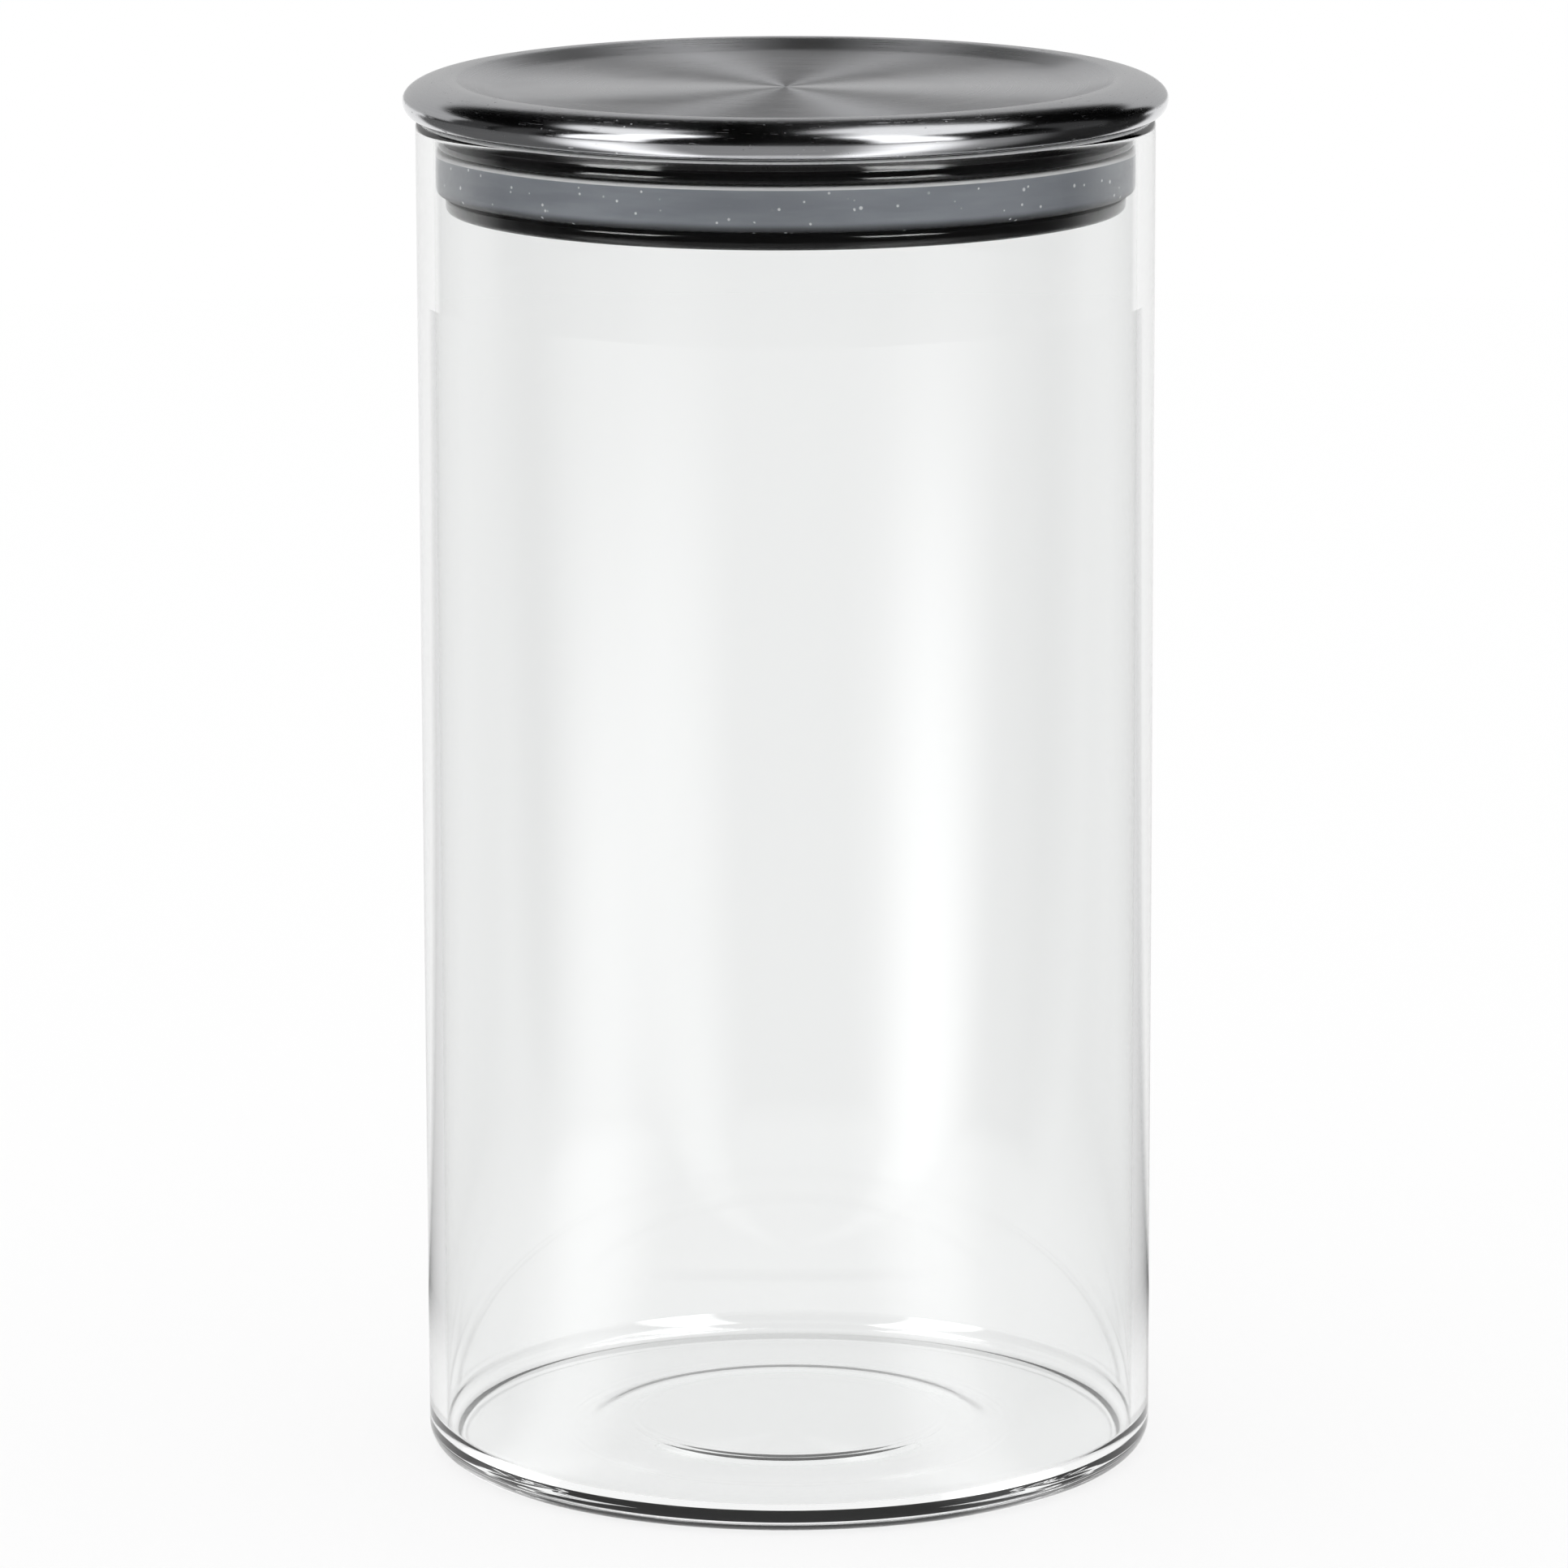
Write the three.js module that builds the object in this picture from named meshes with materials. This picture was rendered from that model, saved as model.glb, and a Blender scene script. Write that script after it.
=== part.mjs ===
// Lidded glass canister: a straight glass jar closed by a lift-off stopper lid.
// Millimetres, +Z up. The origin is on the jar's axis, in the plane that the jar stands on.
// Every piece is a solid of revolution, lathed from an outline of (radius, height) points that
// runs outwards along its underside and back along its top.
import * as THREE from 'three';

const { Path, Vector2 } = THREE;

// ---- driving dimensions ----
const ROUND_STEPS = 60;        // facets around each solid
const CURVE_STEPS = 2;         // steps along a short curve of an outline; an arc takes twice as many
const FIT_GAP = 0.3;           // clearance between pieces that touch

const JAR_RADIUS = 50;
const JAR_HEIGHT = 184.7;
const JAR_WALL = 2.4;
const JAR_FLOOR = 2.4;         // thickness over the resting ring
const JAR_FOOT_ROUND = 3.2;    // outer corner at the base
const JAR_WELL_ROUND = 3;      // inner corner at the base
const KICK_HEIGHT = 1.2;       // how far the middle of the base rises
const KICK_TOP_RADIUS = 21;
const KICK_FOOT_RADIUS = 31;

const COVER_RADIUS = 51.7;
const COVER_SHEET = 0.7;       // thickness of the pressed steel
const HEM_Z = JAR_HEIGHT + FIT_GAP;
const HEM_WIDTH = 2.9;         // flat hem turned in over the glass
const BELLY_Z = 187.2;         // height where the rolled rim is widest
const BELLY_TUCK = 1.8;        // how far the rim draws in below that
const CREST_RADIUS = 45;       // centre of the rim's upper quarter round
const CREST_RISE = 2.9;
const CREST_END = 0.42 * Math.PI;
const SLOPE_HEAD = new Vector2(43.6, 189.7);
const SLOPE_FOOT = new Vector2(40.9, 189);
const DISC_RADIUS = 38.9;      // brushed disc in the middle of the cover
const DISC_EDGE_Z = 188.75;
const DISC_CENTRE_Z = 188.5;

const CARRIER_TOP_Z = DISC_CENTRE_Z - COVER_SHEET - FIT_GAP;
const CARRIER_TOP_RADIUS = 49;
const CARRIER_BRIM_Z = HEM_Z + COVER_SHEET + FIT_GAP;
const CARRIER_NECK_RADIUS = 45.8;
const CARRIER_HOLLOW_RADIUS = 40.6;
const CARRIER_BOTTOM_Z = 172.7;
const SHOULDER_RADIUS = 46.9;  // flange over the seal
const SHOULDER_Z = 182.5;
const SHOULDER_ROUND = 0.5;
const GROOVE_TOP_Z = 181.5;
const GROOVE_BOTTOM_Z = 174.7;
const GROOVE_RADIUS = 44.2;
const LIP_RADIUS = 46;         // flange under the seal
const LIP_TOP_ROUND = 0.4;
const LIP_BOTTOM_ROUND = 0.8;

const SEAL_RADIUS = JAR_RADIUS - JAR_WALL - FIT_GAP;
const SEAL_CHAMFER = 1.2;
const SEAL_ROUND = 0.4;

const PLATE_SEAT_RADIUS = 41.8;
const PLATE_THICKNESS = 1.8;
const PLATE_BEVEL = 0.4;

const QUARTER = Math.PI / 2;

// ---- outlines ----
function outlineOf(path) {
  const points = path.getPoints(CURVE_STEPS);
  return points.filter((point, i) => i === 0 || point.distanceTo(points[i - 1]) > 1e-6);
}

// The line to the left of another, one sheet thickness away, ending on the axis as the first does.
function sheetBackOf(points) {
  const back = points.map((point, i) => {
    const before = points[Math.max(i - 1, 0)];
    const after = points[Math.min(i + 1, points.length - 1)];
    const along = after.clone().sub(before).normalize();
    return new Vector2(point.x - along.y * COVER_SHEET, point.y + along.x * COVER_SHEET);
  });
  back.at(-1).x = 0;
  return back;
}

// Where the line through p with one slope meets the line through q with another.
function meetingPoint(p, slopeP, q, slopeQ) {
  const x = (q.y - p.y + slopeP * p.x - slopeQ * q.x) / (slopeP - slopeQ);
  return new Vector2(x, p.y + slopeP * (x - p.x));
}

// ---- materials ----
const glass = new THREE.MeshStandardMaterial({
  color: 0xf1f5f3,
  roughness: 0.03,
  metalness: 0,
  transparent: true,
  opacity: 0.3,
});
const steel = new THREE.MeshStandardMaterial({ color: 0xc8cacc, roughness: 0.22, metalness: 1 });
const blackPlastic = new THREE.MeshStandardMaterial({ color: 0x0b0b0c, roughness: 0.12, metalness: 0 });
const silicone = new THREE.MeshStandardMaterial({ color: 0x7b8087, roughness: 0.45, metalness: 0 });

// ---- pieces ----
// Jar: rounded foot, base kicked up in the middle, straight wall and a rounded rim.
function jarOutline() {
  const innerRadius = JAR_RADIUS - JAR_WALL;
  const rimRound = JAR_WALL / 2;
  const rimZ = JAR_HEIGHT - rimRound;
  const footRadius = JAR_RADIUS - JAR_FOOT_ROUND;
  const wellZ = JAR_FLOOR + JAR_WELL_ROUND;
  const kickMiddle = (KICK_TOP_RADIUS + KICK_FOOT_RADIUS) / 2;
  const kickFloor = JAR_FLOOR + KICK_HEIGHT;
  const path = new Path();
  path.moveTo(0, KICK_HEIGHT);
  path.lineTo(KICK_TOP_RADIUS, KICK_HEIGHT);
  path.bezierCurveTo(kickMiddle, KICK_HEIGHT, kickMiddle, 0, KICK_FOOT_RADIUS, 0);
  path.lineTo(footRadius, 0);
  path.absarc(footRadius, JAR_FOOT_ROUND, JAR_FOOT_ROUND, -QUARTER, 0);
  path.lineTo(JAR_RADIUS, rimZ);
  path.absarc(JAR_RADIUS - rimRound, rimZ, rimRound, 0, 2 * QUARTER);
  path.lineTo(innerRadius, wellZ);
  path.absarc(innerRadius - JAR_WELL_ROUND, wellZ, JAR_WELL_ROUND, 0, -QUARTER, true);
  path.lineTo(KICK_FOOT_RADIUS, JAR_FLOOR);
  path.bezierCurveTo(kickMiddle, JAR_FLOOR, kickMiddle, kickFloor, KICK_TOP_RADIUS, kickFloor);
  path.lineTo(0, kickFloor);
  return outlineOf(path);
}

// Cover: one pressed steel sheet. From its hem the rim rolls out and over to a crest, then slopes
// down to a shallow disc.
function coverOutline() {
  const tailRadius = COVER_RADIUS - BELLY_TUCK;
  const rimWidth = COVER_RADIUS - CREST_RADIUS;
  const crestTail = new Vector2(
    CREST_RADIUS + rimWidth * Math.cos(CREST_END),
    BELLY_Z + CREST_RISE * Math.sin(CREST_END),
  );
  const tailSlope = -CREST_RISE / (rimWidth * Math.tan(CREST_END));
  const faceSlope = (SLOPE_HEAD.y - SLOPE_FOOT.y) / (SLOPE_HEAD.x - SLOPE_FOOT.x);
  const discSlope = (DISC_EDGE_Z - DISC_CENTRE_Z) / DISC_RADIUS;
  const discEdge = new Vector2(DISC_RADIUS, DISC_EDGE_Z);
  const crest = meetingPoint(SLOPE_HEAD, faceSlope, crestTail, tailSlope);
  const bend = meetingPoint(SLOPE_FOOT, faceSlope, discEdge, discSlope);
  const path = new Path();
  path.moveTo(tailRadius - HEM_WIDTH, HEM_Z);
  path.lineTo(tailRadius, HEM_Z);
  path.absellipse(tailRadius, BELLY_Z, BELLY_TUCK, BELLY_Z - HEM_Z, -QUARTER, 0);
  path.absellipse(CREST_RADIUS, BELLY_Z, rimWidth, CREST_RISE, 0, CREST_END);
  path.quadraticCurveTo(crest.x, crest.y, SLOPE_HEAD.x, SLOPE_HEAD.y);
  path.lineTo(SLOPE_FOOT.x, SLOPE_FOOT.y);
  path.quadraticCurveTo(bend.x, bend.y, discEdge.x, discEdge.y);
  path.lineTo(0, DISC_CENTRE_Z);
  const outside = outlineOf(path);
  return [...sheetBackOf(outside).reverse(), ...outside];
}

// Carrier: the moulded stopper. A flat top fills the cover, and the hollow neck under it has a
// shoulder and a lip that hold the seal between them.
function carrierOutline() {
  const coveRadius = CARRIER_NECK_RADIUS + SHOULDER_ROUND;
  const plateSeatZ = CARRIER_BOTTOM_Z + PLATE_THICKNESS + 2 * FIT_GAP;
  const path = new Path();
  path.moveTo(0, CARRIER_BRIM_Z);
  path.lineTo(CARRIER_HOLLOW_RADIUS, CARRIER_BRIM_Z);
  path.lineTo(CARRIER_HOLLOW_RADIUS, plateSeatZ);
  path.lineTo(PLATE_SEAT_RADIUS, plateSeatZ);
  path.lineTo(PLATE_SEAT_RADIUS, CARRIER_BOTTOM_Z);
  path.lineTo(LIP_RADIUS - LIP_BOTTOM_ROUND, CARRIER_BOTTOM_Z);
  path.quadraticCurveTo(LIP_RADIUS, CARRIER_BOTTOM_Z, LIP_RADIUS, CARRIER_BOTTOM_Z + LIP_BOTTOM_ROUND);
  path.lineTo(LIP_RADIUS, GROOVE_BOTTOM_Z - LIP_TOP_ROUND);
  path.quadraticCurveTo(LIP_RADIUS, GROOVE_BOTTOM_Z, LIP_RADIUS - LIP_TOP_ROUND, GROOVE_BOTTOM_Z);
  path.lineTo(GROOVE_RADIUS, GROOVE_BOTTOM_Z);
  path.lineTo(GROOVE_RADIUS, GROOVE_TOP_Z);
  path.lineTo(SHOULDER_RADIUS, GROOVE_TOP_Z);
  path.lineTo(SHOULDER_RADIUS, SHOULDER_Z - SHOULDER_ROUND);
  path.quadraticCurveTo(SHOULDER_RADIUS, SHOULDER_Z, SHOULDER_RADIUS - SHOULDER_ROUND, SHOULDER_Z);
  path.lineTo(coveRadius, SHOULDER_Z);
  path.quadraticCurveTo(CARRIER_NECK_RADIUS, SHOULDER_Z, CARRIER_NECK_RADIUS, SHOULDER_Z + SHOULDER_ROUND);
  path.lineTo(CARRIER_NECK_RADIUS, CARRIER_BRIM_Z);
  path.lineTo(CARRIER_TOP_RADIUS, CARRIER_BRIM_Z);
  path.lineTo(CARRIER_TOP_RADIUS, CARRIER_TOP_Z);
  path.lineTo(0, CARRIER_TOP_Z);
  return outlineOf(path);
}

// Seal: a ring in the carrier's groove, with a rounded upper edge and a chamfer to lead it in.
function sealOutline() {
  const innerRadius = GROOVE_RADIUS + FIT_GAP;
  const bottomZ = GROOVE_BOTTOM_Z + FIT_GAP;
  const topZ = GROOVE_TOP_Z - FIT_GAP;
  const path = new Path();
  path.moveTo(innerRadius, bottomZ);
  path.lineTo(SEAL_RADIUS - SEAL_CHAMFER, bottomZ);
  path.lineTo(SEAL_RADIUS, bottomZ + SEAL_CHAMFER);
  path.lineTo(SEAL_RADIUS, topZ - SEAL_ROUND);
  path.quadraticCurveTo(SEAL_RADIUS, topZ, SEAL_RADIUS - SEAL_ROUND, topZ);
  path.lineTo(innerRadius, topZ);
  path.lineTo(innerRadius, bottomZ);
  return outlineOf(path);
}

// Base plate: a flat disc that closes the carrier from below.
function plateOutline() {
  const radius = PLATE_SEAT_RADIUS - FIT_GAP;
  const bottomZ = CARRIER_BOTTOM_Z + FIT_GAP;
  const topZ = bottomZ + PLATE_THICKNESS;
  const path = new Path();
  path.moveTo(0, bottomZ);
  path.lineTo(radius - PLATE_BEVEL, bottomZ);
  path.lineTo(radius, bottomZ + PLATE_BEVEL);
  path.lineTo(radius, topZ);
  path.lineTo(0, topZ);
  return outlineOf(path);
}

// ---- assembly ----
function turnedPiece(name, outline, material) {
  const geometry = new THREE.LatheGeometry(outline, ROUND_STEPS);
  geometry.rotateX(QUARTER);
  const mesh = new THREE.Mesh(geometry, material);
  mesh.name = name;
  return mesh;
}

const lid = new THREE.Group();
lid.add(turnedPiece('lid_cover', coverOutline(), steel));
lid.add(turnedPiece('lid_carrier', carrierOutline(), blackPlastic));
lid.add(turnedPiece('lid_base_plate', plateOutline(), blackPlastic));
lid.add(turnedPiece('seal_ring', sealOutline(), silicone));

const canister = new THREE.Group();
canister.add(turnedPiece('glass_jar', jarOutline(), glass));
canister.add(lid);

export default canister;
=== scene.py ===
import math

import bmesh
import bpy
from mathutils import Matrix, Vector


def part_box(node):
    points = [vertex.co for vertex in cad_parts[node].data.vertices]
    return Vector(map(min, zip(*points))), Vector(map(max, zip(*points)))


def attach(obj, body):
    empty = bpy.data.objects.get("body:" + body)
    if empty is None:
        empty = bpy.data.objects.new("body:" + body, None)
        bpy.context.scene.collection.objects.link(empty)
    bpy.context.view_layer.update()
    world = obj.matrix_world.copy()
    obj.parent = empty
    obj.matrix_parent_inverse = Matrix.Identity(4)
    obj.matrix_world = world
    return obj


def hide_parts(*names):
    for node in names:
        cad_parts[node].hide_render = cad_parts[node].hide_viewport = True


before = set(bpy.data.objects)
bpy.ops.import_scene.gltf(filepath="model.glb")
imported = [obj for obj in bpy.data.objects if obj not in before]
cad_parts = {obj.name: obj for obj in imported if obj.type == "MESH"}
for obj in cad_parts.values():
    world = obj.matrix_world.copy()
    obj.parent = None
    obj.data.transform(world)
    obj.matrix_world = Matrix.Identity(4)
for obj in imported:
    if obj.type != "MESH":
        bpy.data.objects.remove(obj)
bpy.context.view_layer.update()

# Lidded glass canister. Metres, +Z up, the jar's axis on Z, its base on z = 0.
# Every piece is turned from an outline of (radius, height) points, in the place and at the size of its
# CAD node, with finer rounds.

MM = 0.001

JAR_LOW, JAR_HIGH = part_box("glass_jar")
COVER_LOW, COVER_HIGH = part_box("lid_cover")
CARRIER_LOW, CARRIER_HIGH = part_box("lid_carrier")
SEAL_LOW, SEAL_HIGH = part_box("seal_ring")
PLATE_LOW, PLATE_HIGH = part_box("lid_base_plate")

TURN_STEPS = 288          # quads round each turned piece
ARC_STEP = math.radians(6)
LONG_LINE = 1.0 * MM
HOLD = 0.1 * MM           # how far a long line's end points stay from its corners
FIT_GAP = 0.3 * MM        # between pieces that touch in the real lid

# Jar
JAR_RADIUS = JAR_HIGH.x
JAR_WALL = 2.4 * MM
JAR_FLOOR = 2.4 * MM
FOOT_ROUND = 3.2 * MM
WELL_ROUND = 3.0 * MM
KICK_HEIGHT = 1.2 * MM
KICK_TOP_RADIUS = 21 * MM
KICK_FOOT_RADIUS = 31 * MM

# Cover
SHEET = 0.7 * MM
HEM_WIDTH = 2.9 * MM
BELLY_TUCK = 1.8 * MM
BELLY_RISE = 2.2 * MM
CREST_RADIUS = 45 * MM
CREST_RISE = 2.85 * MM    # just under the CAD's, whose coarser steps cut the top lower
CREST_END = 0.42 * math.pi
SLOPE_HEAD = (43.6 * MM, 189.7 * MM)
SLOPE_FOOT = (40.9 * MM, 189.0 * MM)
DISC_RADIUS = 38.9 * MM
DISC_EDGE_Z = 188.75 * MM
DISC_CENTRE_Z = 188.5 * MM

# Carrier
NECK_RADIUS = 45.8 * MM
BRIM_Z = COVER_LOW.z + 1.0 * MM
HOLLOW_RADIUS = 40.6 * MM
SHOULDER_RADIUS = 46.9 * MM
SHOULDER_Z = 182.5 * MM
SHOULDER_ROUND = 0.5 * MM
GROOVE_RADIUS = 44.2 * MM
GROOVE_TOP_Z = SEAL_HIGH.z + FIT_GAP
GROOVE_BOTTOM_Z = SEAL_LOW.z - FIT_GAP
LIP_RADIUS = 46.0 * MM
LIP_TOP_ROUND = 0.4 * MM
LIP_BOTTOM_ROUND = 0.8 * MM
EDGE_ROUND = 0.15 * MM

# Seal and base plate
SEAL_FOOT_ROUND = 1.6 * MM
SEAL_TOP_ROUND = 0.4 * MM
PLATE_EDGE_ROUND = 0.4 * MM

# Materials: colours, roughnesses, and the bands over which one finish turns into another or over which
# painted highlight and painted shade come in
GLASS_TINT = (0.962, 0.967, 0.965, 1)
GLASS_IOR = 1.474
GROUND_RIM = (JAR_HIGH.z - 0.34 * MM, JAR_HIGH.z - 0.24 * MM)
GROUND_CLEARNESS = 0.1
GROUND_ROUGHNESS = 0.4
WAVE_STRETCH = (1, 1, 0.12)
STEEL_DARK = (0.585, 0.59, 0.61, 1)
STEEL_LIGHT = (0.655, 0.66, 0.675, 1)
SATIN_ROUGHNESS = (0.26, 0.32)
POLISHED_ROUGHNESS = (0.12, 0.17)
POLISHED_RIM = (CREST_RADIUS - 0.9 * MM, CREST_RADIUS + 0.3 * MM)
SMUDGE_ROUGHNESS = 0.05
MARK_ROUGHNESS = 0.3
PLASTIC_BLACK = (0.002, 0.002, 0.0022, 1)
PLASTIC_IOR = 1.5
PLASTIC_ROUGHNESS = (0.02, 0.07)
SILICONE_DARK = (0.27, 0.288, 0.32, 1)
SILICONE_LIGHT = (0.345, 0.365, 0.4, 1)
SILICONE_IOR = 1.41
SILICONE_ROUGHNESS = (0.34, 0.5)
# painted highlight: a thin near-white band just under the seal's top edge stands in for light caught along
# that edge
SEAL_PAINTED_HIGHLIGHT = (SEAL_HIGH.z - 0.46 * MM, SEAL_HIGH.z - 0.36 * MM)
SEAL_PAINTED_HIGHLIGHT_COLOUR = (0.95, 0.95, 0.95, 1)
# painted shade: the seal's colour darkens to near black towards its rounded foot, where the lip below
# shades it
SEAL_PAINTED_SHADE = (SEAL_LOW.z + 0.2 * MM, SEAL_LOW.z + 1.6 * MM)
SEAL_PAINTED_SHADE_COLOUR = (0.02, 0.021, 0.024, 1)
DUST_COLOUR = (0.85, 0.86, 0.87, 1)

# Camera
CAMERA_PLACE = Vector((0.0002, -1.150, 0.3287))
CAMERA_PITCH = math.radians(11.611)
CAMERA_ROLL = math.radians(0.16)
CAMERA_LENS = 196.4

# Studio, in degrees: bearings round from the front or the back, and heights over the horizon.
SOFTBOX_LEFT = (-70, -43)
SOFTBOX_RIGHT = (27, 53)
LAMPS_FROM_FRONT = [     # bearings, heights, softness, light
    (SOFTBOX_LEFT, (-3, 70), 6, 1.85),
    (SOFTBOX_RIGHT, (-3, 70), 6, 1.85),
    ((-145, -50), (54, 72), 6, 1.2),
    ((48, 170), (53, 80), 6, 1.2),
]
WALLS_FROM_BACK = [
    ((-61, 36), (-3, 26), 5, 0.52),
    ((-42, 42), (-40, -3), 5, 0.95),
    ((-80, -61), (-40, 30), 5, 0.05),
]
WALLS_FROM_FRONT = [
    ((-96, -80), (-30, 45), 6, 0.05),
    ((90, 112), (-20, 45), 5, 0.05),
]
DARK_ROOM = 0.002
WHITE = 0.97              # the backdrop that the glass mirrors
SOFT_LIGHT = 1.15         # what lights rough surfaces
LAMPS_IN_GLASS = 5.0      # how much stronger the lamps are behind glass
BEHIND = (95, 125)        # bearings over which glass starts to see the white backdrop
BESIDE = (138, 148)       # bearings over which the table turns white for every reflection
WALL_VIEW = (-9, -6)      # heights over which the light turned back in a glass wall stays dark
WALL_VIEW_SOFT = 2
WALL_VIEW_DARKNESS = 0.9
AGAIN = 0.9               # how white it gets in light mirrored twice in glass

# Floor. The bands are: from, to, and the light at each.
FLOOR_RADIUS = 1.1
FLOOR_DROP = 0.1 * MM     # keeps the floor off the jar's base
PAPER = (0.86, 0.86, 0.86, 1)
FLOOR_GLOW = 0.8          # share of the floor's light that doesn't take shadows
TABLE_TONE = 0.34
TABLE_LEFT_END = (-86, -70, 0.4, 1.0)      # degrees
TABLE_RIGHT_END = (62, 94, 1.0, 0.05)
GLARE_SOFTNESS = 24
GLARE_FADE = (0.3, 1.08, 1.4, 0.3)         # metres from the jar's axis
NEAR_JAR = (0.07, 0.12, 0.9, 0.0)
NEAR_IN_GLASS = (0.08, 0.12, 0.9, 0.0)
NEAR_IN_WALL = (0.1, 0.3, 1.0, 0.0)


# ---- outlines ----
class Outline:
    """Points of a (radius, height) line, with round stretches added as arcs and curves."""

    def __init__(self, *start):
        self.points = [tuple(start)]

    def to(self, radius, height):
        """A straight line. A long one gets a point near each end, so that its shading stays flat."""
        last = Vector(self.points[-1])
        way = Vector((radius, height)) - last
        if way.length > LONG_LINE:
            hold = way.normalized() * HOLD
            self.points.append(tuple(last + hold))
            self.points.append(tuple(last + way - hold))
        if way.length > 1e-8:
            self.points.append((radius, height))
        return self

    def arc(self, centre, radii, start, end):
        """An ellipse arc about centre, with angles in radians from the outward direction."""
        steps = max(2, math.ceil(abs(end - start) / ARC_STEP))
        for i in range(steps + 1):
            angle = start + (end - start) * i / steps
            self.to(centre[0] + radii[0] * math.cos(angle), centre[1] + radii[1] * math.sin(angle))
        return self

    def curve(self, *controls, steps=12):
        """A Bezier curve from the last point through two or three controls."""
        line = [Vector(self.points[-1]), *map(Vector, controls)]
        for i in range(1, steps + 1):
            level = list(line)
            while len(level) > 1:
                level = [a.lerp(b, i / steps) for a, b in zip(level, level[1:])]
            self.to(*level[0])
        return self


def meeting_point(p, slope_p, q, slope_q):
    """Where two lines cross, each given by a point and a slope."""
    x = (q[1] - p[1] + slope_p * p[0] - slope_q * q[0]) / (slope_p - slope_q)
    return x, p[1] + slope_p * (x - p[0])


def sheet_back(points, thickness):
    """The line on the left of another at that distance, ending on the axis as the first does."""
    back = []
    for i, point in enumerate(points):
        before, after = points[max(i - 1, 0)], points[min(i + 1, len(points) - 1)]
        along = (Vector(after) - Vector(before)).normalized()
        back.append((point[0] - along.y * thickness, point[1] + along.x * thickness))
    back[-1] = (0, back[-1][1])
    return back


# ---- mesh building ----
def turned(name, points, closed=False, steps=TURN_STEPS):
    """A mesh turned round Z. Points run anticlockwise in (radius, height), so faces look outwards."""
    mesh = bpy.data.meshes.new(name)
    bm = bmesh.new()
    rings = []
    for radius, height in points:
        if radius < 1e-7:
            rings.append([bm.verts.new((0, 0, height))])
            continue
        angles = [2 * math.pi * k / steps for k in range(steps)]
        rings.append([bm.verts.new((radius * math.cos(a), radius * math.sin(a), height)) for a in angles])
    pairs = list(zip(rings, rings[1:]))
    if closed:
        pairs.append((rings[-1], rings[0]))
    for low, high in pairs:
        for k in range(steps):
            n = (k + 1) % steps
            corners = [low[k % len(low)], low[n % len(low)], high[n % len(high)], high[k % len(high)]]
            bm.faces.new(tuple(dict.fromkeys(corners)))    # a point on the axis gives a triangle
    bm.to_mesh(mesh)
    bm.free()
    mesh.polygons.foreach_set("use_smooth", [True] * len(mesh.polygons))
    piece = bpy.data.objects.new(name, mesh)
    bpy.context.scene.collection.objects.link(piece)
    return piece


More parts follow.
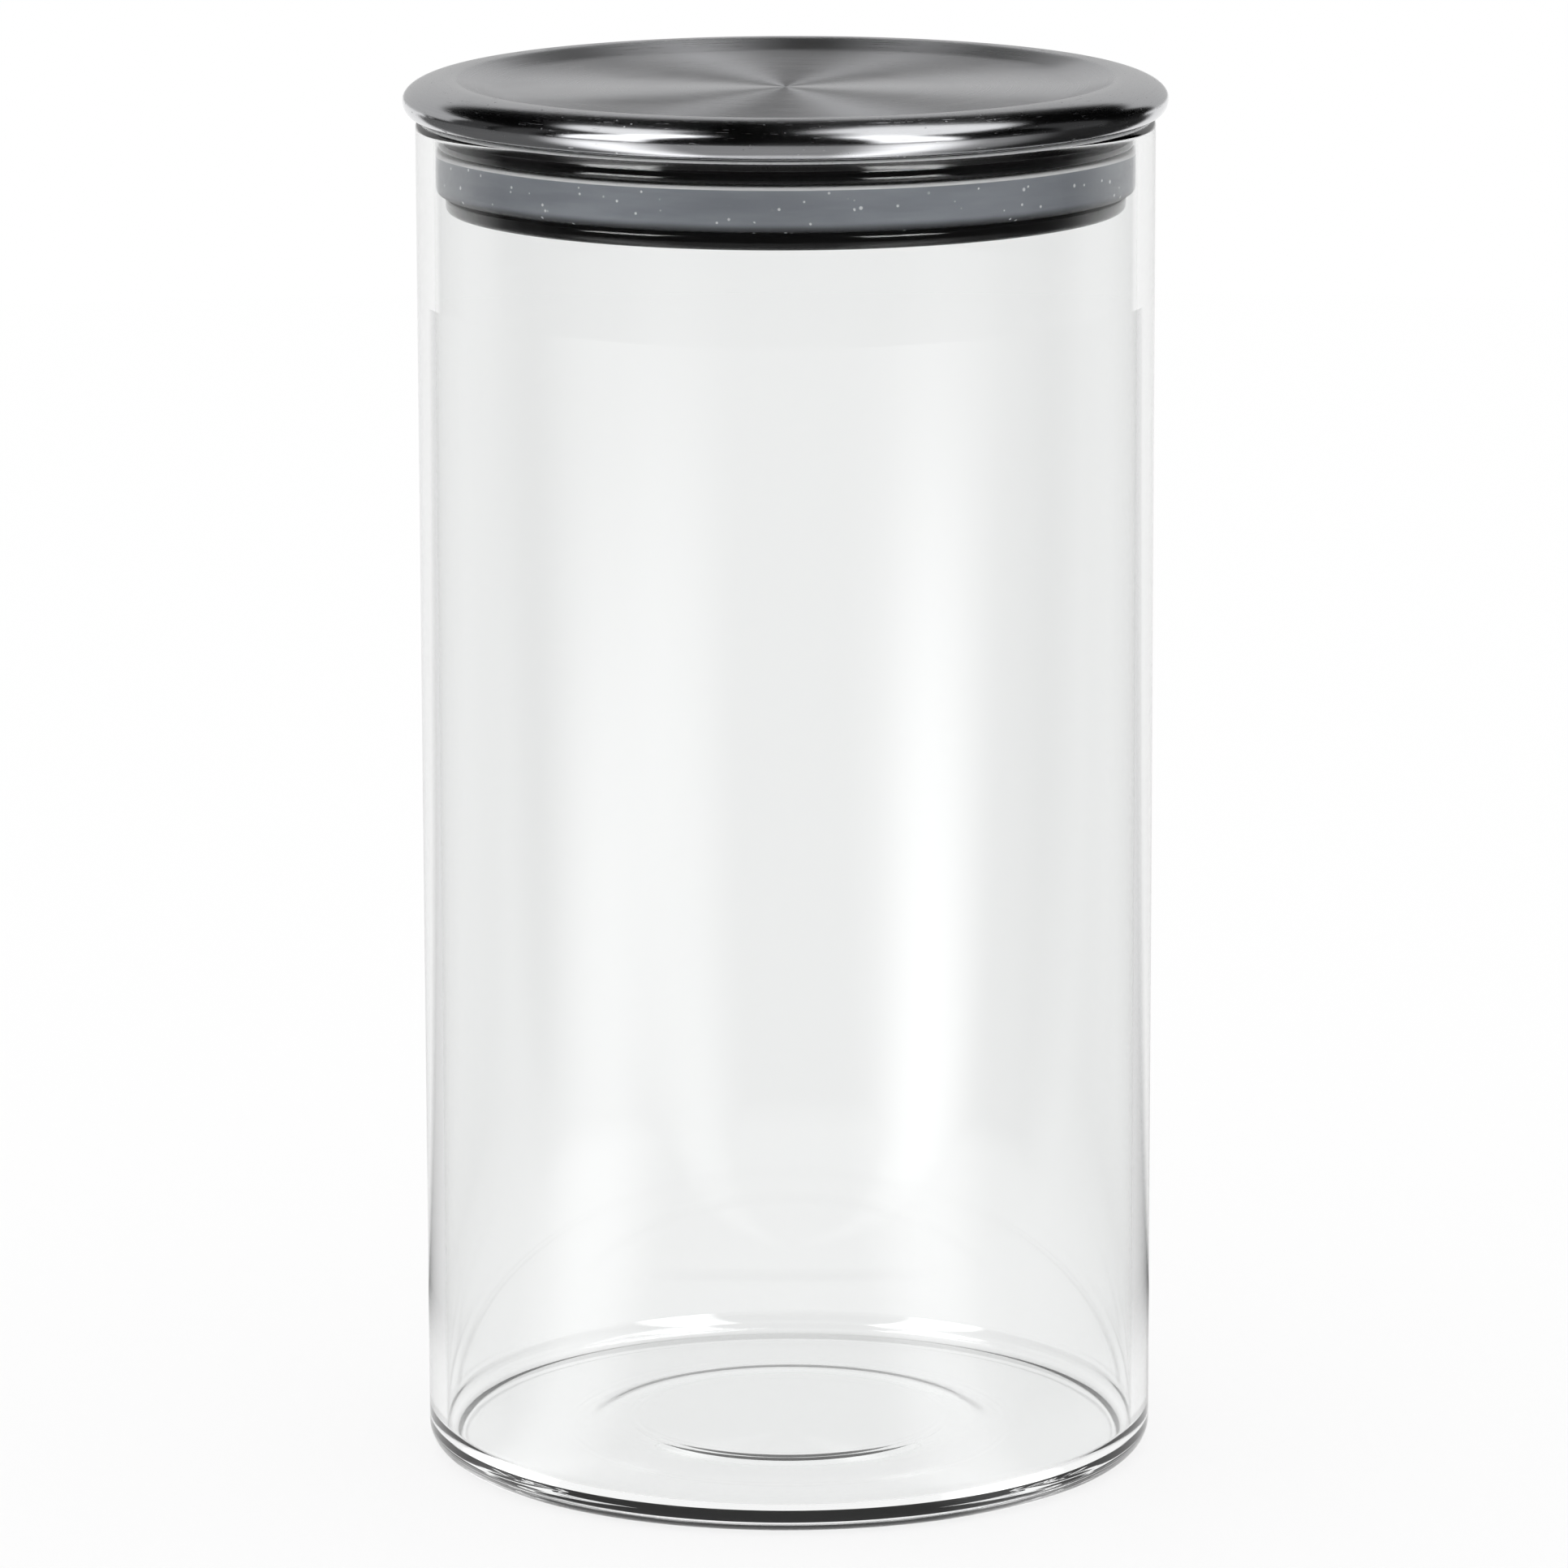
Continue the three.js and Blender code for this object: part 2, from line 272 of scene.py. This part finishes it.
# ---- node helpers ----
class Nodes:
    """Short ways to add and join shader nodes."""

    def __init__(self, tree):
        self.tree = tree
        tree.nodes.clear()

    def add(self, kind, **settings):
        node = self.tree.nodes.new(kind)
        for key, value in settings.items():
            setattr(node, key, value)
        return node

    def feed(self, socket, value):
        if isinstance(value, bpy.types.NodeSocket):
            self.tree.links.new(value, socket)
        else:
            socket.default_value = value

    def math(self, operation, *values):
        node = self.add("ShaderNodeMath", operation=operation)
        for socket, value in zip(node.inputs, values):
            self.feed(socket, value)
        return node.outputs[0]

    def ramp(self, value, low, high, to_low=0.0, to_high=1.0):
        node = self.add("ShaderNodeMapRange", interpolation_type="SMOOTHSTEP")
        for socket, number in zip(node.inputs, (value, low, high, to_low, to_high)):
            self.feed(socket, number)
        return node.outputs[0]

    def window(self, value, low, high, soft):
        """1 between low and high, falling smoothly to 0 over soft at each end."""
        rise = self.ramp(value, low - soft / 2, low + soft / 2)
        fall = self.ramp(value, high - soft / 2, high + soft / 2, 1.0, 0.0)
        return self.math("MULTIPLY", rise, fall)

    def mix(self, factor, a, b):
        node = self.add("ShaderNodeMix", data_type="RGBA")
        self.feed(node.inputs[0], factor)
        self.feed(node.inputs[6], a)
        self.feed(node.inputs[7], b)
        return node.outputs[2]

    def noise(self, vector, scale, detail=3.0, roughness=0.5):
        node = self.add("ShaderNodeTexNoise")
        self.feed(node.inputs["Vector"], vector)
        node.inputs["Scale"].default_value = scale
        node.inputs["Detail"].default_value = detail
        node.inputs["Roughness"].default_value = roughness
        return node.outputs["Fac"]

    def most(self, *values):
        """The highest of several numbers."""
        top = values[0]
        for value in values[1:]:
            top = self.math("MAXIMUM", top, value)
        return top

    def bearing(self, x, y):
        """Degrees round from the +Y side, growing towards +X."""
        return self.math("DEGREES", self.math("ARCTAN2", x, y))

    def number_mix(self, factor, a, b):
        node = self.add("ShaderNodeMix", data_type="FLOAT")
        for socket, value in zip((node.inputs[0], node.inputs[2], node.inputs[3]), (factor, a, b)):
            self.feed(socket, value)
        return node.outputs[0]

    def place(self):
        """The point being shaded, in the object's own metres."""
        return self.add("ShaderNodeTexCoord").outputs["Object"]

    def parts(self, vector):
        """A vector's X, Y and Z."""
        split = self.add("ShaderNodeSeparateXYZ")
        self.feed(split.inputs[0], vector)
        return split.outputs

    def length(self, x, y):
        return self.math("SQRT", self.math("ADD", self.math("MULTIPLY", x, x), self.math("MULTIPLY", y, y)))

    def rings(self, place, along, across):
        """A vector that stretches noise into rings round Z."""
        x, y, z = self.parts(place)
        over = self.math("SUBTRACT", self.length(x, y), z)
        join = self.add("ShaderNodeCombineXYZ")
        for socket, value, scale in zip(join.inputs, (x, y, over), (along, along, across)):
            self.feed(socket, self.math("MULTIPLY", value, scale))
        return join.outputs[0]

    def specks(self, place, scale, size):
        """1 on small scattered dots, and 0 elsewhere."""
        cells = self.add("ShaderNodeTexVoronoi")
        self.feed(cells.inputs["Vector"], place)
        cells.inputs["Scale"].default_value = scale
        dot = self.ramp(cells.outputs["Distance"], size * 0.6, size, 1.0, 0.0)
        chance = self.add("ShaderNodeSeparateColor")
        self.feed(chance.inputs[0], cells.outputs["Color"])
        return self.math("MULTIPLY", dot, self.ramp(chance.outputs[0], 0.9, 0.92))

    def bump(self, height, strength, distance):
        node = self.add("ShaderNodeBump")
        node.inputs["Strength"].default_value = strength
        node.inputs["Distance"].default_value = distance
        self.feed(node.inputs["Height"], height)
        return node.outputs["Normal"]


def new_material(name, shader_values):
    """A material with one Principled shader, its plain values set, and its Nodes helper."""
    material = bpy.data.materials.new(name)
    material.use_nodes = True
    nodes = Nodes(material.node_tree)
    shader = nodes.add("ShaderNodeBsdfPrincipled")
    output = nodes.add("ShaderNodeOutputMaterial")
    nodes.feed(output.inputs["Surface"], shader.outputs[0])
    for key, value in shader_values.items():
        shader.inputs[key].default_value = value
    return material, nodes, shader


# ---- materials ----
def glass_material():
    """Clear borosilicate, faintly wavy, with a finely ground rim that catches the light."""
    material, nodes, shader = new_material("borosilicate_glass", {
        "Base Color": GLASS_TINT, "IOR": GLASS_IOR,
    })
    place = nodes.place()
    on_rim = nodes.ramp(nodes.parts(place)[2], *GROUND_RIM)
    grain = nodes.noise(place, 2500.0, detail=2.0)
    frost = nodes.math("MULTIPLY", on_rim, nodes.ramp(grain, 0.2, 0.7, 0.6, 1.0))
    nodes.feed(shader.inputs["Transmission Weight"], nodes.ramp(frost, 0.0, 1.0, 1.0, GROUND_CLEARNESS))
    nodes.feed(shader.inputs["Roughness"], nodes.ramp(frost, 0.0, 1.0, 0.0, GROUND_ROUGHNESS))
    stretched = nodes.add("ShaderNodeVectorMath", operation="MULTIPLY")
    nodes.feed(stretched.inputs[0], place)
    nodes.feed(stretched.inputs[1], WAVE_STRETCH)
    waves = nodes.noise(stretched.outputs[0], 60.0, detail=1.0)
    nodes.feed(shader.inputs["Normal"], nodes.bump(waves, 0.12, 0.0002))
    return material


def steel_material():
    """Spun stainless steel: brushed in rings on top, brighter and smoother on the rolled rim."""
    material, nodes, shader = new_material("brushed_steel", {
        "Metallic": 1.0, "Anisotropic": 0.92, "Anisotropic Rotation": 0.25,
    })
    tangent = nodes.add("ShaderNodeTangent", direction_type="RADIAL", axis="Z")
    nodes.feed(shader.inputs["Tangent"], tangent.outputs[0])
    place = nodes.place()
    x, y, _ = nodes.parts(place)
    on_rim = nodes.ramp(nodes.length(x, y), *POLISHED_RIM)
    lines = nodes.noise(nodes.rings(place, 60.0, 7000.0), 1.0, detail=3.0, roughness=0.65)
    smudge = nodes.noise(place, 70.0, detail=4.0)
    satin = nodes.ramp(lines, 0.25, 0.75, *SATIN_ROUGHNESS)
    polish = nodes.ramp(lines, 0.3, 0.8, *POLISHED_ROUGHNESS)
    rough = nodes.number_mix(on_rim, satin, polish)
    rough = nodes.math("ADD", rough, nodes.ramp(smudge, 0.45, 0.75, 0.0, SMUDGE_ROUGHNESS))
    short_rings = nodes.rings(place, 350.0, 5000.0)
    scratches = nodes.ramp(nodes.noise(short_rings, 1.0, detail=2.0), 0.66, 0.74)
    dust = nodes.specks(place, 1100.0, 0.2)
    marks = nodes.math("MULTIPLY", nodes.most(scratches, dust), on_rim)
    rough = nodes.math("ADD", rough, nodes.math("MULTIPLY", marks, MARK_ROUGHNESS))
    nodes.feed(shader.inputs["Roughness"], rough)
    tone = nodes.mix(nodes.ramp(lines, 0.2, 0.8), STEEL_DARK, STEEL_LIGHT)
    nodes.feed(shader.inputs["Base Color"], tone)
    nodes.feed(shader.inputs["Normal"], nodes.bump(lines, 0.25, 0.00002))
    return material


def black_plastic_material():
    """Glossy black moulded plastic, with a faint haze."""
    material, nodes, shader = new_material("black_plastic", {
        "Base Color": PLASTIC_BLACK, "IOR": PLASTIC_IOR,
    })
    haze = nodes.noise(nodes.place(), 120.0, detail=4.0)
    nodes.feed(shader.inputs["Roughness"], nodes.ramp(haze, 0.3, 0.8, *PLASTIC_ROUGHNESS))
    return material


def silicone_material():
    """Cloudy grey silicone with dust on it, a painted highlight as a thin bright edge along its top, and
    painted shade darkening its rounded foot.
    """
    material, nodes, shader = new_material("grey_silicone", {"IOR": SILICONE_IOR})
    place = nodes.place()
    height = nodes.parts(place)[2]
    cloud = nodes.noise(nodes.rings(place, 60.0, 400.0), 1.0, detail=4.0)
    colour = nodes.mix(nodes.ramp(cloud, 0.3, 0.7), SILICONE_DARK, SILICONE_LIGHT)
    # painted highlight: near-white colour along the seal's top edge
    colour = nodes.mix(nodes.ramp(height, *SEAL_PAINTED_HIGHLIGHT), colour, SEAL_PAINTED_HIGHLIGHT_COLOUR)
    # painted shade: the seal darkens towards its foot, over the gap above the lip
    colour = nodes.mix(nodes.ramp(height, *SEAL_PAINTED_SHADE, 1.0, 0.0), colour, SEAL_PAINTED_SHADE_COLOUR)
    dust = nodes.most(nodes.specks(place, 620.0, 0.2), nodes.specks(place, 1250.0, 0.3))
    colour = nodes.mix(dust, colour, DUST_COLOUR)
    nodes.feed(shader.inputs["Base Color"], colour)
    grain = nodes.noise(place, 1400.0, detail=3.0)
    nodes.feed(shader.inputs["Roughness"], nodes.ramp(grain, 0.3, 0.7, *SILICONE_ROUGHNESS))
    nodes.feed(shader.inputs["Normal"], nodes.bump(grain, 0.15, 0.00005))
    return material


# ---- pieces ----
def build_jar(glass):
    """Straight wall, rounded foot, kicked-up base, and a rim rounded over from outside to inside."""
    inner = JAR_RADIUS - JAR_WALL
    rim_round = JAR_WALL / 2
    rim_z = JAR_HIGH.z - rim_round
    foot = JAR_RADIUS - FOOT_ROUND
    well = inner - WELL_ROUND
    well_z = JAR_FLOOR + WELL_ROUND
    kick_middle = (KICK_TOP_RADIUS + KICK_FOOT_RADIUS) / 2
    kick_floor = JAR_FLOOR + KICK_HEIGHT
    line = Outline(0, KICK_HEIGHT).to(KICK_TOP_RADIUS, KICK_HEIGHT)
    line.curve((kick_middle, KICK_HEIGHT), (kick_middle, 0), (KICK_FOOT_RADIUS, 0))
    line.to(foot, 0).arc((foot, FOOT_ROUND), (FOOT_ROUND, FOOT_ROUND), -math.pi / 2, 0)
    line.arc((JAR_RADIUS - rim_round, rim_z), (rim_round, rim_round), 0, math.pi)
    line.arc((well, well_z), (WELL_ROUND, WELL_ROUND), 0, -math.pi / 2)
    line.to(KICK_FOOT_RADIUS, JAR_FLOOR)
    line.curve((kick_middle, JAR_FLOOR), (kick_middle, kick_floor), (KICK_TOP_RADIUS, kick_floor))
    line.to(0, kick_floor)
    piece = turned("jar", line.points)
    piece.data.materials.append(glass)
    return piece


def build_cover(steel):
    """Pressed sheet: hem, rolled rim, crest, slope and a slightly dished disc."""
    radius, hem_z = COVER_HIGH.x, COVER_LOW.z
    tail, belly_z = radius - BELLY_TUCK, hem_z + BELLY_RISE
    rim_width = radius - CREST_RADIUS
    crest_tail = (
        CREST_RADIUS + rim_width * math.cos(CREST_END),
        belly_z + CREST_RISE * math.sin(CREST_END),
    )
    tail_slope = -CREST_RISE / (rim_width * math.tan(CREST_END))
    face_slope = (SLOPE_HEAD[1] - SLOPE_FOOT[1]) / (SLOPE_HEAD[0] - SLOPE_FOOT[0])
    disc_edge = (DISC_RADIUS, DISC_EDGE_Z)
    disc_slope = (DISC_EDGE_Z - DISC_CENTRE_Z) / DISC_RADIUS
    crest = meeting_point(SLOPE_HEAD, face_slope, crest_tail, tail_slope)
    bend = meeting_point(SLOPE_FOOT, face_slope, disc_edge, disc_slope)
    line = Outline(tail - HEM_WIDTH, hem_z).to(tail, hem_z)
    line.arc((tail, belly_z), (BELLY_TUCK, BELLY_RISE), -math.pi / 2, 0)
    line.arc((CREST_RADIUS, belly_z), (rim_width, CREST_RISE), 0, CREST_END)
    line.curve(crest, SLOPE_HEAD).to(*SLOPE_FOOT).curve(bend, disc_edge, steps=6)
    line.to(DISC_RADIUS / 2, (DISC_EDGE_Z + DISC_CENTRE_Z) / 2).to(0, DISC_CENTRE_Z)
    back = sheet_back(line.points, SHEET)
    piece = turned("cover", back[::-1] + line.points)
    piece.data.materials.append(steel)
    return piece


def build_carrier(plastic):
    """The stopper, hollow and open below, with a brim, a neck, a shoulder, a seal groove and a lip."""
    bottom, top = CARRIER_LOW.z, CARRIER_HIGH.z
    cove = NECK_RADIUS + SHOULDER_ROUND
    seat_radius = PLATE_HIGH.x + FIT_GAP
    seat_z = PLATE_HIGH.z + FIT_GAP
    foot = LIP_RADIUS - LIP_BOTTOM_ROUND
    line = Outline(0, BRIM_Z).to(HOLLOW_RADIUS, BRIM_Z).to(HOLLOW_RADIUS, seat_z).to(seat_radius, seat_z)
    line.to(seat_radius, bottom + EDGE_ROUND)
    line.to(seat_radius + EDGE_ROUND, bottom)
    line.to(foot, bottom).arc((foot, bottom + LIP_BOTTOM_ROUND), (LIP_BOTTOM_ROUND,) * 2, -math.pi / 2, 0)
    head = (LIP_RADIUS - LIP_TOP_ROUND, GROOVE_BOTTOM_Z - LIP_TOP_ROUND)
    line.arc(head, (LIP_TOP_ROUND,) * 2, 0, math.pi / 2)
    line.to(GROOVE_RADIUS, GROOVE_BOTTOM_Z).to(GROOVE_RADIUS, GROOVE_TOP_Z)
    line.to(SHOULDER_RADIUS - EDGE_ROUND, GROOVE_TOP_Z)
    line.to(SHOULDER_RADIUS, GROOVE_TOP_Z + EDGE_ROUND)
    shoulder = (SHOULDER_RADIUS - SHOULDER_ROUND, SHOULDER_Z - SHOULDER_ROUND)
    line.arc(shoulder, (SHOULDER_ROUND,) * 2, 0, math.pi / 2)
    line.arc((cove, SHOULDER_Z + SHOULDER_ROUND), (SHOULDER_ROUND,) * 2, -math.pi / 2, -math.pi)
    line.to(NECK_RADIUS, BRIM_Z).to(CARRIER_HIGH.x, BRIM_Z).to(CARRIER_HIGH.x, top).to(0, top)
    piece = turned("carrier", line.points)
    piece.data.materials.append(plastic)
    return piece


def build_seal(silicone):
    """A ring with its outer lower corner well rounded."""
    inner = GROOVE_RADIUS + FIT_GAP
    outer, low, high = SEAL_HIGH.x, SEAL_LOW.z, SEAL_HIGH.z
    under = outer - SEAL_FOOT_ROUND
    over = outer - SEAL_TOP_ROUND
    line = Outline(inner, low).to(under, low)
    line.arc((under, low + SEAL_FOOT_ROUND), (SEAL_FOOT_ROUND,) * 2, -math.pi / 2, 0)
    line.arc((over, high - SEAL_TOP_ROUND), (SEAL_TOP_ROUND,) * 2, 0, math.pi / 2)
    line.to(inner, high)
    piece = turned("seal", line.points, closed=True)
    piece.data.materials.append(silicone)
    return piece


def build_plate(plastic):
    """The disc that closes the stopper from below."""
    radius, low, high = PLATE_HIGH.x, PLATE_LOW.z, PLATE_HIGH.z
    foot = radius - PLATE_EDGE_ROUND
    line = Outline(0, low).to(foot, low)
    line.arc((foot, low + PLATE_EDGE_ROUND), (PLATE_EDGE_ROUND,) * 2, -math.pi / 2, 0)
    line.to(radius, high).to(0, high)
    piece = turned("base_plate", line.points)
    piece.data.materials.append(plastic)
    return piece


def add_pieces():
    """Each piece, with the CAD node that it stands for, the body it rides on and its material slot."""
    plastic = black_plastic_material()
    made = [
        (build_jar(glass_material()), "glass_jar", "jar", "glass"),
        (build_cover(steel_material()), "lid_cover", "lid", "steel"),
        (build_carrier(plastic), "lid_carrier", "lid", "black_plastic"),
        (build_plate(plastic), "lid_base_plate", "lid", "black_plastic"),
        (build_seal(silicone_material()), "seal_ring", "lid", "silicone"),
    ]
    for piece, node, body, slot in made:
        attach(piece, body)
        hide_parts(node)


# ---- studio ----
def light_path(nodes):
    """Whether a ray was mirrored, mirrored again, in glass, turned back in one wall, or scattered."""
    path = nodes.add("ShaderNodeLightPath")
    counts = [path.outputs[kind] for kind in ("Glossy Depth", "Transmission Depth", "Diffuse Depth")]
    once, through, scattered = [nodes.math("GREATER_THAN", count, 0.5) for count in counts]
    again = nodes.math("GREATER_THAN", counts[0], 1.5)
    turned_back = nodes.math("MULTIPLY", through, nodes.math("LESS_THAN", counts[1], 2.5))
    return once, again, through, turned_back, scattered


def table_tone(nodes, again, through, turned_back):
    """The table in reflections: lit near the softboxes, dark at the sides, white for the glass."""
    x, y, _ = nodes.parts(nodes.place())
    reach = nodes.length(x, y)
    side = nodes.bearing(x, nodes.math("MULTIPLY", y, -1.0))
    away = nodes.math("ABSOLUTE", side)
    glare = nodes.most(
        nodes.window(side, *SOFTBOX_LEFT, GLARE_SOFTNESS),
        nodes.window(side, *SOFTBOX_RIGHT, GLARE_SOFTNESS),
    )
    glare = nodes.math("MULTIPLY", glare, nodes.ramp(reach, *GLARE_FADE))
    ends = nodes.math("MULTIPLY", nodes.ramp(side, *TABLE_LEFT_END), nodes.ramp(side, *TABLE_RIGHT_END))
    lit = nodes.math("ADD", nodes.math("MULTIPLY", ends, TABLE_TONE), glare)
    near = nodes.most(nodes.ramp(reach, *NEAR_IN_GLASS), nodes.math("MULTIPLY", again, AGAIN))
    in_glass = nodes.math("MULTIPLY", nodes.most(nodes.ramp(away, *BEHIND), near), through)
    in_wall = nodes.math("MULTIPLY", turned_back, nodes.ramp(reach, *NEAR_IN_WALL))
    white = nodes.math("MULTIPLY", nodes.most(nodes.ramp(away, *BESIDE), in_glass, in_wall), WHITE)
    return nodes.most(lit, white, nodes.ramp(reach, *NEAR_JAR))


def add_floor():
    """Pale paper. In reflections it's a table top that falls into the dark towards the sides."""
    floor = turned("studio_floor", [(0, 0), (FLOOR_RADIUS, 0)], steps=96)
    floor.data.flip_normals()
    floor.location.z = -FLOOR_DROP
    material = bpy.data.materials.new("floor_paper")
    material.use_nodes = True
    nodes = Nodes(material.node_tree)
    in_mirror, again, through, turned_back, _ = light_path(nodes)
    paper = nodes.add("ShaderNodeBsdfDiffuse")
    paper.inputs["Color"].default_value = PAPER
    glow = nodes.add("ShaderNodeEmission")
    glow.inputs["Color"].default_value = (1, 1, 1, 1)
    table = nodes.add("ShaderNodeEmission")
    nodes.feed(table.inputs["Strength"], table_tone(nodes, again, through, turned_back))
    seen = nodes.add("ShaderNodeMixShader")
    for socket, source in zip(seen.inputs, (FLOOR_GLOW, paper.outputs[0], glow.outputs[0])):
        nodes.feed(socket, source)
    mixed = nodes.add("ShaderNodeMixShader")
    for socket, source in zip(mixed.inputs, (in_mirror, seen.outputs[0], table.outputs[0])):
        nodes.feed(socket, source)
    output = nodes.add("ShaderNodeOutputMaterial")
    nodes.feed(output.inputs["Surface"], mixed.outputs[0])
    floor.data.materials.append(material)


def sum_of_panels(nodes, rise, bearing, panels):
    """The light of soft-edged rectangles in the sky."""
    total = 0.0
    for sides, heights, soft, light in panels:
        across = nodes.window(bearing, *sides, soft)
        up = nodes.window(rise, *heights, soft)
        lit = nodes.math("MULTIPLY", nodes.math("MULTIPLY", across, up), light)
        total = nodes.math("ADD", lit, total)
    return total


def add_world():
    """White for what is seen and for soft light; a dark studio with softboxes in the reflections."""
    world = bpy.data.worlds.new("studio")
    bpy.context.scene.world = world
    world.use_nodes = True
    world.cycles.sampling_method = "NONE"
    nodes = Nodes(world.node_tree)
    x, y, z = nodes.parts(nodes.add("ShaderNodeTexCoord").outputs["Generated"])
    rise = nodes.math("DEGREES", nodes.math("ARCSINE", z))
    from_front = nodes.bearing(x, nodes.math("MULTIPLY", y, -1.0))
    from_back = nodes.bearing(x, y)

    mirrored, again, through, turned_back, scattered = light_path(nodes)
    lamps = sum_of_panels(nodes, rise, from_front, LAMPS_FROM_FRONT)
    lamps = nodes.math("MULTIPLY", lamps, nodes.ramp(through, 0.0, 1.0, 1.0, LAMPS_IN_GLASS))
    lamps = nodes.math("MULTIPLY", lamps, nodes.math("SUBTRACT", 1.0, again))
    walls = nodes.math(
        "ADD",
        sum_of_panels(nodes, rise, from_back, WALLS_FROM_BACK),
        sum_of_panels(nodes, rise, from_front, WALLS_FROM_FRONT),
    )
    light = nodes.math("ADD", nodes.math("ADD", lamps, walls), DARK_ROOM)

    behind = nodes.ramp(nodes.math("ABSOLUTE", from_front), *BEHIND)
    in_glass = nodes.math("MULTIPLY", nodes.most(behind, nodes.math("MULTIPLY", again, AGAIN)), through)
    wall_view = nodes.math("MULTIPLY", nodes.window(rise, *WALL_VIEW, WALL_VIEW_SOFT), WALL_VIEW_DARKNESS)
    in_wall = nodes.math("MULTIPLY", turned_back, nodes.math("SUBTRACT", 1.0, wall_view))
    light = nodes.most(light, nodes.math("MULTIPLY", nodes.most(in_glass, in_wall), WHITE))

    studio = nodes.most(nodes.math("SUBTRACT", mirrored, scattered), 0.0)
    white = nodes.ramp(scattered, 0.0, 1.0, 1.0, SOFT_LIGHT)
    background = nodes.add("ShaderNodeBackground")
    background.inputs["Color"].default_value = (1, 1, 1, 1)
    nodes.feed(background.inputs["Strength"], nodes.number_mix(studio, white, light))
    output = nodes.add("ShaderNodeOutputWorld")
    nodes.feed(output.inputs["Surface"], background.outputs[0])


def add_camera():
    """A long lens from the front, a little above, fitted to the outlines in the photo."""
    camera = bpy.data.objects.new("camera", bpy.data.cameras.new("camera"))
    camera.data.lens = CAMERA_LENS
    camera.data.clip_start = 0.05
    camera.location = CAMERA_PLACE
    camera.rotation_euler = (math.pi / 2 - CAMERA_PITCH, CAMERA_ROLL, 0)
    bpy.context.scene.collection.objects.link(camera)
    bpy.context.scene.camera = camera


add_pieces()
add_floor()
add_world()
add_camera()
bpy.context.scene.view_settings.view_transform = "Standard"
